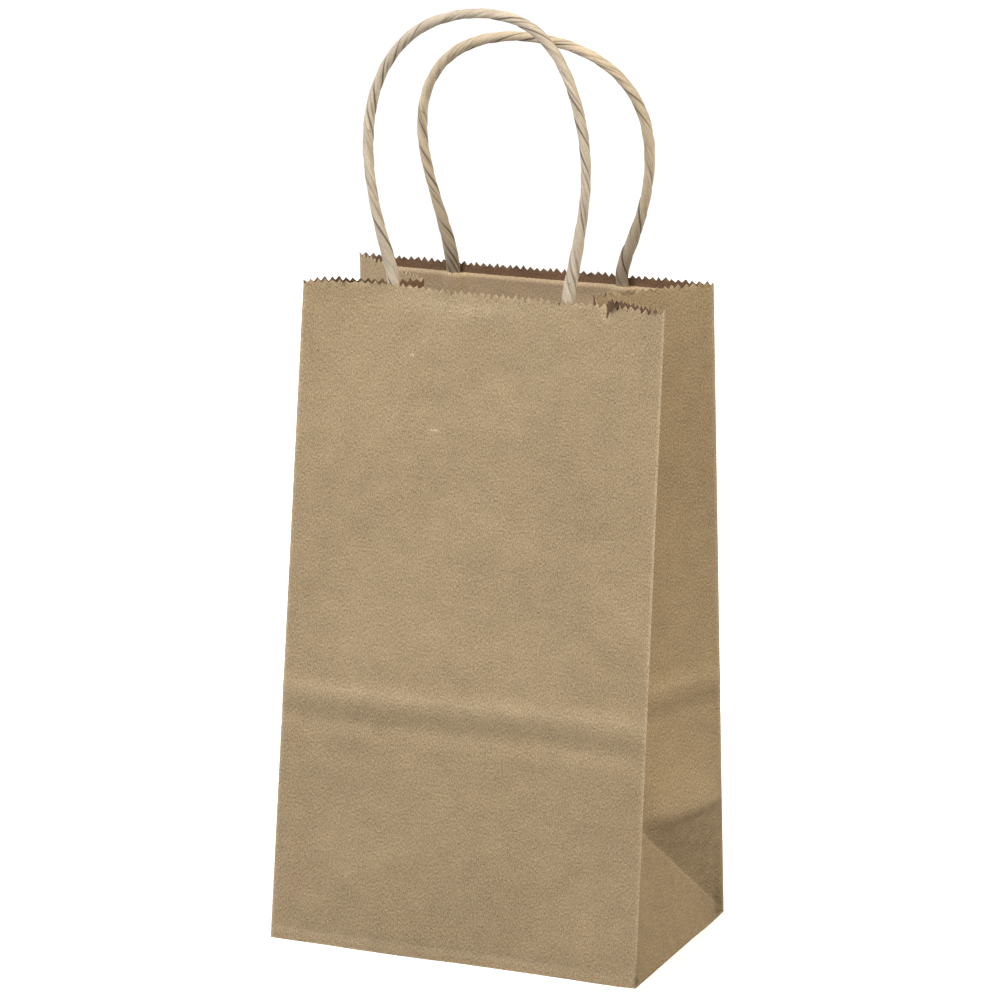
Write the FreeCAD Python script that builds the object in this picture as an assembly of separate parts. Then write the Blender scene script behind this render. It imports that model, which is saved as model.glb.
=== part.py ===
"""Kraft-paper gift bag with two twisted-paper handles.

Millimetres, +Z up.  The origin is the middle of the bag's base, the front wall
faces -Y and the width lies along X.  The bag is folded from one sheet, so each
panel between two creases is a thin plate of its own, and a crease is the narrow
gap between two plates.  The front wall tilts about its bottom edge, each half of
a side gusset swings on the upright edge of its wall, and each handle swings on a
line just above the wall that holds it.
"""
import FreeCAD
import Part
import math
import os

# ---------------------------------------------------------------- sizes (mm)
base_width = 133.4          # along X, at the foot of the front and back walls
base_depth = 85.0           # along Y, the full width of an opened gusset
wall_length = 225.0         # from the foot of a wall to the tips of its teeth
mouth_width = 129.4         # between the side edges of a wall at its top
mouth_depth = 46.0          # between the two walls at the top
mouth_shift = 8.0           # how far the mouth's middle stands behind the base's
paper = 0.2                 # thickness of one layer of paper

apex_inset = 15.0           # how far the low point of a gusset is folded in
crease_gap = 0.4            # from a wall's side edge to the gusset corner beside it
swing_crease_gap = 1.5      # the same to a gusset half, which swings on that edge
fold_gap = 1.1              # trimmed off each plate at the other folds of a gusset
corner_gap = 2.8            # trimmed off a gusset corner, which moves with its wall
foot_gap = 0.3              # between the base and the foot of the front wall
layer_gap = 0.05            # between a base flap and the foot of a wall

tooth_pitch = 2.5           # pinked edge round the mouth
tooth_height = 1.35

base_overlap = 24.0         # the front and back base flaps lie over each other
tuck_length = 38.0          # side flaps folded in under the base
seam_start = 2.0            # from the side edge of the back wall to its glued seam

patch_side_gap = 11.2       # from the strips that hold a handle to a wall's edge
seam_patch_gap = 0.6        # between those strips and the glued seam
patch_height = 44.0
patch_drop = 4.0            # from the tips of the teeth to the strip's top edge

rope_diameter = 3.6         # twisted paper rope of the handles
rope_flat_width = 5.0       # the same rope, pressed flat between the strips
rope_flat_depth = 1.6
rope_end_length = 36.0      # how far a rope's end goes down between the strips
swing_height = 2.2          # from the tips of the teeth to a handle's swing line
swing_gap = 0.35            # between a handle's round foot and the end below it

# Middle line of each handle: along X, and up from the swing line.  The first and
# last points are the two feet.
front_route = [(-34.3, 0.0), (-37.8, 12.0), (-41.4, 29.0), (-43.6, 45.0), (-42.6, 60.0), (-37.4, 73.5),
               (-27.6, 84.2), (-14.2, 89.8), (0.2, 91.1), (13.4, 87.8), (23.0, 79.0), (29.6, 66.4),
               (34.0, 51.0), (35.2, 35.0), (32.8, 17.0), (29.6, 0.0)]
back_route = [(-29.3, 0.0), (-32.6, 13.0), (-37.0, 28.0), (-39.2, 43.0), (-37.0, 57.0), (-29.9, 68.2),
              (-18.4, 75.4), (-4.0, 78.2), (10.2, 77.2), (23.4, 73.5), (34.8, 66.0), (42.2, 54.2),
              (44.0, 39.2), (41.6, 24.0), (37.0, 11.0), (32.2, 0.0)]
front_lean = 5.7            # degrees that a handle leans over the mouth at rest
back_lean = 5.7

# ------------------------------------------------------- sizes that follow
half_depth = base_depth / 2
front_top_y = mouth_shift - mouth_depth / 2
back_top_y = mouth_shift + mouth_depth / 2
front_top_z = math.sqrt(wall_length**2 - (front_top_y + half_depth) ** 2)
back_top_z = math.sqrt(wall_length**2 - (half_depth - back_top_y) ** 2)
apex_z = math.sqrt(half_depth**2 - apex_inset**2)
base_stack = 3 * paper + 2 * layer_gap
patch_half = mouth_width / 2 - patch_side_gap


def vec(x, y, z):
    return FreeCAD.Vector(x, y, z)


def unit(vector):
    return vector * (1.0 / vector.Length)


def along(start, end, distance):
    """The point at a distance from start towards end."""
    return start + unit(end - start) * distance


# ------------------------------------------------------------- plate tools
def trim(points, cuts):
    """Moves edge i of a flat polygon, from point i to i + 1, inwards by cuts[i]."""
    count = len(points)
    middle = sum(points, vec(0, 0, 0)) * (1.0 / count)
    normal = unit((points[1] - points[0]).cross(points[2] - points[0]))
    lines = []
    for i, cut in enumerate(cuts):
        run = unit(points[(i + 1) % count] - points[i])
        side = normal.cross(run)
        if side.dot(middle - points[i]) < 0:
            side = side * -1.0
        lines.append((points[i] + side * cut, run, side))
    corners = []
    for i in range(count):
        before, here = lines[i - 1], lines[i]
        reach = (here[0] - before[0]).dot(here[2]) / before[1].dot(here[2])
        corners.append(before[0] + before[1] * reach)
    return corners


def pinked(start, end, down):
    """Points of a zigzag edge from start to end; its tips lie on that line."""
    count = max(2, round((end - start).Length / tooth_pitch))
    step = (end - start) * (1.0 / count)
    points = []
    for i in range(count):
        points.append(start + step * i + down * tooth_height)
        points.append(start + step * (i + 0.5))
    points.append(end + down * tooth_height)
    return points


def plate(points, inner_side, thickness=paper, offset=0.0):
    """A flat plate whose outer face is the polygon; it grows to its inner side."""
    normal = unit((points[1] - points[0]).cross(points[2] - points[0]))
    if normal.dot(inner_side) < 0:
        normal = normal * -1.0
    shifted = [p + normal * offset for p in points]
    face = Part.Face(Part.makePolygon(shifted + [shifted[0]]))
    return face.extrude(normal * thickness)


def mirrored(point):
    return vec(-point.x, point.y, point.z)


# ---------------------------------------------------------- corner points
class Wall:
    """The front (side = -1) or the back (side = +1) wall."""

    def __init__(self, side, top_y, top_z, foot):
        self.side = side
        self.low = vec(base_width / 2, side * half_depth, 0)
        self.top = vec(mouth_width / 2, top_y, top_z)
        self.up = unit(vec(0, top_y - side * half_depth, top_z))
        self.inward = vec(0, -side * self.up.z, side * self.up.y)
        self.foot = foot

    def at(self, x, height):
        """A point on the outer face, a distance up the wall from its foot line."""
        return vec(x, self.side * half_depth, 0) + self.up * height

    def outline(self):
        low = along(self.low, self.top, self.foot)
        top = pinked(self.top, mirrored(self.top), self.up * -1.0)
        return [low] + top + [mirrored(low)]


front = Wall(-1, front_top_y, front_top_z, base_stack + foot_gap)
back = Wall(1, back_top_y, back_top_z, 0.0)
apex = vec(base_width / 2 - apex_inset, 0, apex_z)


def crease_point(wall):
    """Where the slanting crease of a gusset meets the upright edge of a wall."""
    return along(wall.low, wall.top, half_depth)


def gusset_fold_top():
    """The inner fold of a gusset at the mouth, where its two halves are pressed in."""
    half_mouth = mouth_depth / 2
    inset = math.sqrt(half_depth**2 - half_mouth**2)
    return vec(mouth_width / 2 - inset, mouth_shift, (front_top_z + back_top_z) / 2)


fold_top = gusset_fold_top()


# ------------------------------------------------------------------ pieces
def wall_panel(wall):
    return plate(wall.outline(), wall.inward)


def gusset_half(wall):
    """A twisted plate from the slanting crease up to the mouth, with its teeth."""
    crease = crease_point(wall)
    rise = unit(wall.top - crease)
    ends = []
    for outer, inner, lift in ((crease, apex, rise * fold_gap), (wall.top, fold_top, vec(0, 0, 0))):
        start = along(outer, inner, swing_crease_gap) + lift
        end = along(inner, outer, fold_gap) + lift
        normal = unit((end - start).cross(rise))
        if normal.x > 0:
            normal = normal * -1.0
        layer = normal * paper
        ends.append(Part.makePolygon([start, end, end + layer, start + layer, start]))
    sheet = Part.makeLoft(ends, True, True)
    run = fold_top - wall.top
    across = unit(run.cross(rise))
    comb = pinked(wall.top, fold_top, rise * -1.0)
    comb = [comb[0] - run * 0.1] + comb + [comb[-1] + run * 0.1]
    comb = comb + [comb[-1] + rise * wall_length, comb[0] + rise * wall_length]
    comb_face = Part.Face(Part.makePolygon(comb + [comb[0]]))
    comb_face.translate(across * -half_depth)
    return sheet.cut(comb_face.extrude(across * 2 * half_depth))


def gusset_corner(wall):
    """The small triangle of a gusset between the wall and the slanting fold."""
    points = [wall.low, crease_point(wall), apex]
    return plate(trim(points, [crease_gap, fold_gap / 2, corner_gap]), vec(-1, 0, 0))


def base_side():
    """The triangle that stands on a side edge of the base and leans inwards."""
    points = [front.low, back.low, apex]
    return plate(trim(points, [base_stack + paper, fold_gap, fold_gap]), vec(-1, 0, 0))


def base_flap(y_start, y_end, layer):
    """One sheet of the base; layer 0 is the one the bag stands on."""
    half = base_width / 2 - layer_gap
    height = layer * (paper + layer_gap)
    return Part.makeBox(2 * half, y_end - y_start, paper, vec(-half, y_start, height))


def tuck_flap():
    half = base_width / 2 - layer_gap
    edge = half_depth - 2 * paper
    height = 2 * (paper + layer_gap)
    points = [vec(half, -edge, height), vec(half, edge, height),
              vec(half - tuck_length, edge - tuck_length, height),
              vec(half - tuck_length, tuck_length - edge, height)]
    return plate(points, vec(0, 0, 1))


def strip(wall, x_start, x_end, low, high, offset, thickness=paper):
    """A flat strip on the inside of a wall, between two heights up the wall."""
    points = [wall.at(x_start, low), wall.at(x_end, low), wall.at(x_end, high), wall.at(x_start, high)]
    return plate(points, wall.inward, thickness, offset)


def patch_ply(wall, offset):
    high = wall_length - patch_drop
    return strip(wall, -patch_half, patch_half, high - patch_height, high, offset)


def rope_end(wall, x_middle):
    """The pressed end of a handle between the two strips, up to its swing line."""
    high = wall_length + swing_height - rope_diameter / 2 - swing_gap
    low = wall_length - patch_drop - rope_end_length
    half = rope_flat_width / 2
    return strip(wall, x_middle - half, x_middle + half, low, high, 2 * paper, rope_flat_depth)


def seam_flap():
    """The glued overlap that closes the tube of paper, inside the back wall."""
    low = base_stack + layer_gap
    high = wall_length - patch_drop
    outer = -(mouth_width / 2 - seam_start)
    inner = -(patch_half + seam_patch_gap)
    return strip(back, outer, inner, low, high, paper)


# ----------------------------------------------------------------- handles
def swing_point(wall, x):
    """A point on a handle's swing line."""
    middle = 2 * paper + rope_flat_depth / 2
    return wall.at(x, wall_length + swing_height) + wall.inward * middle


def handle_points(wall, route, lean):
    tilt = math.radians(lean)
    rise = vec(0, -wall.side * math.sin(tilt), math.cos(tilt))
    return [swing_point(wall, x) + rise * up for x, up in route]


def rounded_path(points):
    """Straight runs joined by tangent arcs at the points of a route."""
    edges, radii, here = [], [], points[0]
    for before, corner, after in zip(points, points[1:], points[2:]):
        back_way, on_way = before - corner, after - corner
        turn = math.pi - back_way.getAngle(on_way)
        reach = 0.45 * min(back_way.Length, on_way.Length)
        start = along(corner, before, reach)
        end = along(corner, after, reach)
        radius = reach / math.tan(turn / 2)
        bisector = unit(unit(back_way) + unit(on_way))
        middle = corner + bisector * (radius / math.cos(turn / 2) - radius)
        edges.append(Part.LineSegment(here, start).toShape())
        edges.append(Part.Arc(start, middle, end).toShape())
        radii.append(radius)
        here = end
    edges.append(Part.LineSegment(here, points[-1]).toShape())
    return Part.Wire(edges), radii


def handle_loop(wall, route, lean, name):
    points = handle_points(wall, route, lean)
    path, radii = rounded_path(points)
    radius = rope_diameter / 2
    section = Part.Wire(Part.makeCircle(radius, points[0], points[1] - points[0]))
    tube = path.makePipeShell([section], True, True)
    expected = math.pi * radius**2 * path.Length
    print(f"{name}: rope {path.Length:.1f} long, smallest bend {min(radii):.1f},"
          f" volume {tube.Volume / expected:.4f} of section times length")
    for foot in (points[0], points[-1]):
        tube = tube.fuse(Part.makeSphere(radius, foot))
    return tube.removeSplitter()


# ------------------------------------------------------------------ export
def build():
    inner_ply = 2 * paper + rope_flat_depth
    overlap = base_overlap / 2
    reach = half_depth - layer_gap - 1.1 * paper
    nodes = {
        "front_panel": wall_panel(front),
        "back_panel": wall_panel(back),
        "base_outer_flap": base_flap(-reach, overlap, 0),
        "base_inner_flap": base_flap(-overlap, reach, 1),
        "glued_seam_flap": seam_flap(),
    }
    right_side = {
        "base_tuck_flap": tuck_flap(),
        "base_side_triangle": base_side(),
        "gusset_front_half": gusset_half(front),
        "gusset_rear_half": gusset_half(back),
        "gusset_front_corner": gusset_corner(front),
        "gusset_rear_corner": gusset_corner(back),
    }
    for name, shape in right_side.items():
        nodes[name + "_right"] = shape
        nodes[name + "_left"] = shape.mirror(vec(0, 0, 0), vec(1, 0, 0))
    for wall, label, route, lean in ((front, "front", front_route, front_lean),
                                     (back, "back", back_route, back_lean)):
        nodes[label + "_patch_outer_ply"] = patch_ply(wall, paper)
        nodes[label + "_patch_inner_ply"] = patch_ply(wall, inner_ply)
        nodes[label + "_handle_end_left"] = rope_end(wall, route[0][0])
        nodes[label + "_handle_end_right"] = rope_end(wall, route[-1][0])
        nodes[label + "_handle_loop"] = handle_loop(wall, route, lean, label)
    return nodes


def main():
    os.makedirs("parts", exist_ok=True)
    for name, shape in build().items():
        if not shape.isValid() or shape.Volume <= 0:
            raise ValueError(name + " is not a sound solid")
        shape.exportStep("parts/" + name + ".step")
    for label, wall in (("front", front), ("back", back)):
        line = swing_point(wall, 0)
        print(f"{label} handle swings about y {line.y:.3f}, z {line.z:.3f}")
        for side, point in (("low", along(wall.low, wall.top, 0)), ("high", wall.top)):
            print(f"{label} upright edge {side}: {point.x:.3f} {point.y:.3f} {point.z:.3f}")
    print(f"gusset fold at the mouth: {fold_top.x:.2f} {fold_top.y:.2f} {fold_top.z:.2f}")


main()
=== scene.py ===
"""Kraft-paper gift bag with two twisted-paper handles: the looks around its frame.

Metres, +Z up, front wall towards -Y.  The body is one flat sheet of paper that is
creased, folded into a tube with side gussets and given its thickness.
"""
import math
import random

import bmesh
import bpy
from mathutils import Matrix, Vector, noise
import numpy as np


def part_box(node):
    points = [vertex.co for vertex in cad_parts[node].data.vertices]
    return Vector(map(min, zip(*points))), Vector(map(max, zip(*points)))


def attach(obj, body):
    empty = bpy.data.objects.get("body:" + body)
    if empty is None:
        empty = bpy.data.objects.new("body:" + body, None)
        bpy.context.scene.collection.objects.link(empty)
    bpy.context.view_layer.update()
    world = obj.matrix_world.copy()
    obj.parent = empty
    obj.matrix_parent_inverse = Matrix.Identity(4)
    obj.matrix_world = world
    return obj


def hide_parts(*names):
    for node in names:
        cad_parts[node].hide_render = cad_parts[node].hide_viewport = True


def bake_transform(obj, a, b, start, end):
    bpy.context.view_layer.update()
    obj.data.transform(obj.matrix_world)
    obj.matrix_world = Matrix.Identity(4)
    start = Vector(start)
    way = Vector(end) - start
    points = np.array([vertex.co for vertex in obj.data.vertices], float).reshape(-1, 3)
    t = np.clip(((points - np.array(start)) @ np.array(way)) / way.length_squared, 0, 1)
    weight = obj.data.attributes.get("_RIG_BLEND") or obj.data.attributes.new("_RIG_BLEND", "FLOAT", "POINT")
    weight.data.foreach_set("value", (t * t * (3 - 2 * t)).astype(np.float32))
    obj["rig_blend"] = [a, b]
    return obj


bl_info = {
    "name": "Kraft Gift Bag",
    "version": (1, 0, 0),
    "blender": (4, 5, 0),
    "location": "View3D > Sidebar > Gift Bag",
    "description": "Folds a kraft-paper gift bag with twisted handles around its frame",
    "category": "Add Mesh",
}

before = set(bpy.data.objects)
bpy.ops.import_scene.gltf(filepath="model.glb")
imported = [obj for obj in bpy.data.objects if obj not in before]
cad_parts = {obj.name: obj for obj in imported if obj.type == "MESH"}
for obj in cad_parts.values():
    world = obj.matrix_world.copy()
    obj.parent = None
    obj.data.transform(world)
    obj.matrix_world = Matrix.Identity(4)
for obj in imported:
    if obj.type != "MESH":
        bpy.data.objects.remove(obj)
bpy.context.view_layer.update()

MM = 0.001
front_low, front_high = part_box("front_panel")
back_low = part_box("back_panel")[0]
PAPER = 0.2 * MM


def linear(red, green, blue):
    """Scene-linear colour of a display colour given from 0 to 255."""
    def channel(value):
        share = value / 255
        return share / 12.92 if share <= 0.04045 else ((share + 0.055) / 1.055) ** 2.4
    return (channel(red), channel(green), channel(blue))


# ------------------------------------------------------------- properties
class BagSizes(bpy.types.PropertyGroup):
    """Sizes of the folded sheet, in metres."""
    base_half_width: bpy.props.FloatProperty(
        name="Base half width", description="From the middle to a side edge at the foot",
        default=front_high[0], unit="LENGTH")
    base_half_depth: bpy.props.FloatProperty(
        name="Base half depth", description="Also the width of half a gusset",
        default=-front_low[1], unit="LENGTH")
    mouth_half_width: bpy.props.FloatProperty(
        name="Mouth half width", description="From the middle to a side edge at the mouth",
        default=64.7 * MM, unit="LENGTH")
    front_top_y: bpy.props.FloatProperty(
        name="Front edge", description="Where the front wall's top edge stands, along Y",
        default=front_high[1] - PAPER, unit="LENGTH")
    back_top_y: bpy.props.FloatProperty(
        name="Back edge", description="Where the back wall's top edge stands, along Y",
        default=back_low[1] + PAPER, unit="LENGTH")
    wall_length: bpy.props.FloatProperty(
        name="Wall length", description="From the foot of a wall to the tips of its teeth",
        default=225 * MM, unit="LENGTH")
    apex_inset: bpy.props.FloatProperty(
        name="Apex inset", description="How far the low point of a gusset is pushed in",
        default=15 * MM, unit="LENGTH")
    tooth_height: bpy.props.FloatProperty(
        name="Tooth height", description="Height of the pinked edge's teeth",
        default=1.35 * MM, unit="LENGTH")
    tooth_pitch: bpy.props.FloatProperty(
        name="Tooth pitch", description="Length of one tooth along the edge",
        default=2.5 * MM, unit="LENGTH")
    patch_half_width: bpy.props.FloatProperty(
        name="Patch half width", description="Half the length of the strips that hold a handle",
        default=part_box("back_patch_inner_ply")[1][0], unit="LENGTH")
    patch_drop: bpy.props.FloatProperty(
        name="Patch drop", description="From the tips of the teeth to the strips",
        default=4 * MM, unit="LENGTH")
    patch_height: bpy.props.FloatProperty(
        name="Patch height", description="Height of the strips that hold a handle",
        default=44 * MM, unit="LENGTH")


class BagRope(bpy.types.PropertyGroup):
    """The twisted paper rope of the handles."""
    diameter: bpy.props.FloatProperty(
        name="Diameter", description="Of the round part of the rope",
        default=3.6 * MM, unit="LENGTH")
    flat_width: bpy.props.FloatProperty(
        name="Pressed width", description="Width of the rope where it is pressed flat",
        default=5.0 * MM, unit="LENGTH")
    flat_depth: bpy.props.FloatProperty(
        name="Pressed thickness", description="Thickness of the rope where it is pressed flat",
        default=1.6 * MM, unit="LENGTH")
    end_length: bpy.props.FloatProperty(
        name="Hidden end", description="Length of rope between the strips at each foot",
        default=28 * MM, unit="LENGTH")
    twist_pitch: bpy.props.FloatProperty(
        name="Twist pitch", description="Length of rope for one turn of the twist",
        default=27 * MM, unit="LENGTH")
    swing_height: bpy.props.FloatProperty(
        name="Swing height", description="From the tips of the teeth to the swing line",
        default=2.2 * MM, unit="LENGTH")
    lean: bpy.props.FloatProperty(
        name="Lean", description="How far a handle leans over the mouth",
        default=math.radians(5.7), subtype="ANGLE")


class BagColours(bpy.types.PropertyGroup):
    """Colours of the papers."""
    outside: bpy.props.FloatVectorProperty(
        name="Outside", description="Outer face of the kraft sheet", subtype="COLOR", size=3,
        default=linear(165, 145, 115))
    inside: bpy.props.FloatVectorProperty(
        name="Inside", description="Rougher, browner inner face of the sheet", subtype="COLOR",
        size=3, default=linear(128, 101, 79))
    patch: bpy.props.FloatVectorProperty(
        name="Patch", description="Strips that hold the handles", subtype="COLOR", size=3,
        default=linear(196, 173, 142))
    front_rope: bpy.props.FloatVectorProperty(
        name="Front rope", description="Front handle", subtype="COLOR", size=3,
        default=linear(199, 185, 165))
    back_rope: bpy.props.FloatVectorProperty(
        name="Back rope", description="Back handle", subtype="COLOR", size=3,
        default=linear(203, 185, 159))


def sizes():
    return bpy.context.scene.gift_bag_sizes


def rope_sizes():
    return bpy.context.scene.gift_bag_rope


def colours():
    return bpy.context.scene.gift_bag_colours


# ---------------------------------------------------------- small formulas
def mix(start, end, share):
    return start + (end - start) * share


def smooth(share):
    share = min(max(share, 0.0), 1.0)
    return share * share * (3 - 2 * share)


def hump(distance, width):
    """1 on a line, falling softly to 0 about two widths away from it."""
    return math.exp(-((distance / width) ** 2))


def off_segment(x, v, start, end):
    """Distance of a point of a wall from a straight line on it."""
    run = Vector(end) - Vector(start)
    here = Vector((x, v)) - Vector(start)
    share = min(max(here.dot(run) / run.length_squared, 0.0), 1.0)
    return (here - run * share).length


# Soft marks in the front wall: from and to (x, height up the wall), width and
# height of each, in millimetres.  A minus sign dents the paper.
front_marks = [
    ((-28, 178), (-26, 202), 2.2, 0.30),
    ((-17, 181), (-18, 200), 2.6, -0.26),
    ((-8, 176), (-9, 199), 2.0, 0.24),
    ((4, 120), (9, 158), 5.0, 0.22),
    ((-46, 92), (-40, 140), 6.0, -0.24),
    ((38, 96), (44, 150), 7.0, 0.22),
    ((-52, 10), (-20, 36), 6.0, 0.20),
    ((26, 14), (56, 40), 7.0, -0.22),
]
back_marks = [
    ((-40, 150), (-30, 196), 6.0, 0.28),
    ((22, 120), (30, 182), 7.0, -0.26),
    ((48, 20), (20, 60), 6.0, 0.22),
    ((-10, 30), (-14, 76), 5.0, -0.2),
]

FOLD_BAND = 84.5 * MM       # height of the crease from folding the bag flat
NICK_X = 44.0 * MM          # small tear in the front's top edge
NICK_DEPTH = 5.6 * MM
TOOTH_RAGGED = 0.3 * MM     # how much the teeth differ along the edge and up it
TOOTH_CURL = 0.42 * MM      # how far they lean out of the wall or into it
MARK_RELIEF = 1.7 * MM      # relief of a mark whose height is given as 1
WAVE_LENGTH = 26 * MM       # of the slow waves in a wall's paper
FOLD_SPREAD = 1.6 * MM      # how much less than flat the mouth's folds are pushed in
FOLD_DROP = 1.4 * MM        # how far a gusset's slanting fold ends below the walls
MOVING_DEPTH = 28.5 * MM    # from the still part of the sheet to what moves with the front
FRONT_FEET = (-34.3 * MM, 29.6 * MM)
BACK_FEET = (-29.3 * MM, 32.2 * MM)


def band_sag(x):
    """The fold band is not quite straight: how far it wanders up or down at x."""
    return 0.5 * MM * math.sin(x / (19 * MM)) + 0.3 * MM * math.sin(x / (7.3 * MM) + 1)


def fold_band(x, v):
    """The crease left by folding flat: a ridge, a hollow under it and a faint line."""
    above = v - FOLD_BAND - band_sag(x)
    ridge = 0.72 * hump(above - 1.8 * MM, 3.6 * MM)
    hollow = 0.34 * hump(above + 7.6 * MM, 3.0 * MM)
    line = 0.22 * hump(above + 13.0 * MM, 1.3 * MM)
    return (ridge - hollow + line) * MM


class Wall:
    """One of the two large walls; side is -1 in front and +1 behind."""

    def __init__(self, side):
        size = sizes()
        self.side = side
        self.top_y = size.front_top_y if side < 0 else size.back_top_y
        foot_y = side * size.base_half_depth
        top_z = math.sqrt(size.wall_length**2 - (self.top_y - foot_y) ** 2)
        self.up = Vector((0, self.top_y - foot_y, top_z)) / size.wall_length
        self.out = Vector((0, side * self.up.z, -side * self.up.y))
        self.foot_y = foot_y
        self.marks = front_marks if side < 0 else back_marks
        self.feet = FRONT_FEET if side < 0 else BACK_FEET

    def half_width(self, v):
        size = sizes()
        return mix(size.base_half_width, size.mouth_half_width, v / size.wall_length)

    def plane(self, x, v):
        return Vector((x, self.foot_y, 0)) + self.up * v

    def relief(self, x, v):
        """How far the paper stands out of the wall's plane."""
        size = sizes()
        reach = x / self.half_width(v)
        side_fade = smooth((1 - abs(reach)) * 9)
        height = v / size.wall_length
        pull = (3.6 - 2.2 * reach) if self.side < 0 else 0.7
        bow = -pull * MM * (1 - reach * reach) * smooth((height - 0.45) / 0.55)
        if self.side < 0:
            bow -= 1.6 * MM * hump(reach + 0.55, 0.26) * smooth((height - 0.7) / 0.3)
        belly = 0.7 * MM * (1 - reach * reach) * math.sin(math.pi * min(height / 0.36, 1.0))
        marks = 0.0
        for start, end, width, rise in self.marks:
            start, end = Vector(start) * MM, Vector(end) * MM
            marks += MARK_RELIEF * rise * hump(off_segment(x, v, start, end), width * MM)
        for foot in self.feet:
            low = (foot, size.wall_length - size.patch_drop - 30 * MM)
            high = (foot, size.wall_length - size.patch_drop)
            marks += 0.42 * MM * hump(off_segment(x, v, low, high), 3.2 * MM)
        patch_edge = v - (size.wall_length - size.patch_drop - size.patch_height)
        inside_patch = abs(x) < size.patch_half_width
        marks += 0.12 * MM * smooth(patch_edge / (1.5 * MM)) * (1 if inside_patch else 0)
        place = Vector((x, self.side * 0.3, v)) / WAVE_LENGTH
        waves = 0.9 * MM * noise.noise(place) + 0.26 * MM * noise.noise(place * 2.7)
        worn = 0.25 * MM * hump(v - 3.2 * MM, 1.3 * MM) * smooth(v / (1.5 * MM))
        band = fold_band(x, v) * (0.4 + 0.6 * smooth((1 - abs(reach)) * 6))
        return bow + side_fade * (belly + marks + waves - worn) + band

    def at(self, x, v, inwards=0.0):
        return self.plane(x, v) + self.out * (self.relief(x, v) - inwards)


def slant_crease(q):
    """Height of the crease across half a gusset, from the wall's edge to the low point."""
    return sizes().base_half_depth - 1.0 * MM + 4.4 * MM * (1 - math.exp(-q / 0.13))


def gusset_point(flip, wall, q, v):
    """A point of half a gusset: q runs from the wall's edge to the inner fold."""
    size = sizes()
    half = size.base_half_depth
    sign = -1 if flip else 1
    other = Wall(-wall.side)
    apex = Vector((size.base_half_width - size.apex_inset, 0,
                   math.sqrt(half**2 - size.apex_inset**2)))
    edge = wall.plane(wall.half_width(v), v)
    if v >= half:
        share = (v - half) / (size.wall_length - half)
        facing = other.plane(0, v)
        gap = (facing - wall.plane(0, v)).length / 2
        inset = math.sqrt(max(half**2 - gap**2, 0.0))
        inset -= FOLD_SPREAD * share
        low_gap = abs(other.plane(0, half).y - wall.plane(0, half).y) / 2
        surplus = math.sqrt(half**2 - low_gap**2) - size.apex_inset
        inset -= surplus * (1 - share) ** 3
        middle_y = (wall.plane(0, v).y + facing.y) / 2
        low_y = (wall.plane(0, half).y + other.plane(0, half).y) / 2
        middle_y -= low_y * (1 - share) ** 3
        top_z = (wall.plane(0, size.wall_length).z + other.plane(0, size.wall_length).z) / 2
        top_z -= FOLD_DROP
        fold = Vector((wall.half_width(v) - inset, middle_y, mix(apex.z, top_z, share)))
        place = edge.lerp(fold, q)
        across = (fold - edge).normalized()
    else:
        rise = v / half
        corner = wall.plane(size.base_half_width, 0)
        if rise >= q:
            crease = wall.plane(wall.half_width(half), half)
            place = corner * (1 - rise) + crease * (rise - q) + apex * q
        else:
            middle = Vector((size.base_half_width, 0, 0))
            place = corner * (1 - q) + middle * (q - rise) + apex * rise
        across = (apex - corner).normalized()
    out = across.cross(Vector((0, 0, 1))) * wall.side
    if out.x < 0:
        out = -out
    crease = slant_crease(q)
    reach = 26 * MM if v > crease else max(crease - q * half, 8 * MM)
    ridge = max(0.0, 1 - abs(v - crease) / reach) ** 1.2
    swell = 4.8 * MM if wall.side > 0 else 0.8 * MM
    place += out * swell * math.sin(math.pi * q) ** 0.8 * ridge
    if v < q * half:
        sunk = min(v, q * half - v) / half
        place -= out * 2.2 * MM * sunk
    fade = smooth(q * 12) * smooth((1 - q) * 12)
    wave_at = Vector((q * 1.7 + wall.side * 5 + sign * 11, v / (30 * MM), 0.4))
    place += out * fade * (1.2 * fold_band(q * 40 * MM, v) + 1.0 * MM * noise.noise(wave_at))
    return Vector((place.x * sign, place.y, place.z))


# ------------------------------------------------------------ mesh helpers
def new_piece(bm, name, materials, body=None, smooth_faces=True):
    """Turns a bmesh into an object at the origin, with its materials and body."""
    for face in bm.faces:
        face.smooth = smooth_faces
    mesh = bpy.data.meshes.new(name)
    bm.to_mesh(mesh)
    bm.free()
    piece = bpy.data.objects.new(name, mesh)
    bpy.context.collection.objects.link(piece)
    for material in materials:
        mesh.materials.append(material)
    if body:
        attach(piece, body)
    return piece


def thicken(piece, thickness, inner_material=False):
    """Gives a sheet its thickness, inwards from its outer face."""
    shell = piece.modifiers.new("Paper thickness", "SOLIDIFY")
    shell.thickness = thickness
    shell.offset = -1
    shell.use_quality_normals = True
    if inner_material:
        shell.material_offset = 1


def grid_sheet(columns, rows):
    """A flat grid whose vertices know their column and row."""
    bm = bmesh.new()
    bmesh.ops.create_grid(bm, x_segments=columns, y_segments=rows, size=1)
    column_layer = bm.verts.layers.int.new("column")
    row_layer = bm.verts.layers.int.new("row")
    for vert in bm.verts:
        vert[column_layer] = round((vert.co.x + 1) / 2 * columns)
        vert[row_layer] = round((vert.co.y + 1) / 2 * rows)
    return bm, column_layer, row_layer


# -------------------------------------------------------------- materials
def node_group(name, inputs, outputs):
    group = bpy.data.node_groups.new(name, "ShaderNodeTree")
    for label, kind, default in inputs:
        socket = group.interface.new_socket(label, in_out="INPUT", socket_type=kind)
        socket.default_value = default
    for label, kind in outputs:
        group.interface.new_socket(label, in_out="OUTPUT", socket_type=kind)
    start = group.nodes.new("NodeGroupInput")
    end = group.nodes.new("NodeGroupOutput")
    return group, start, end


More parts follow.
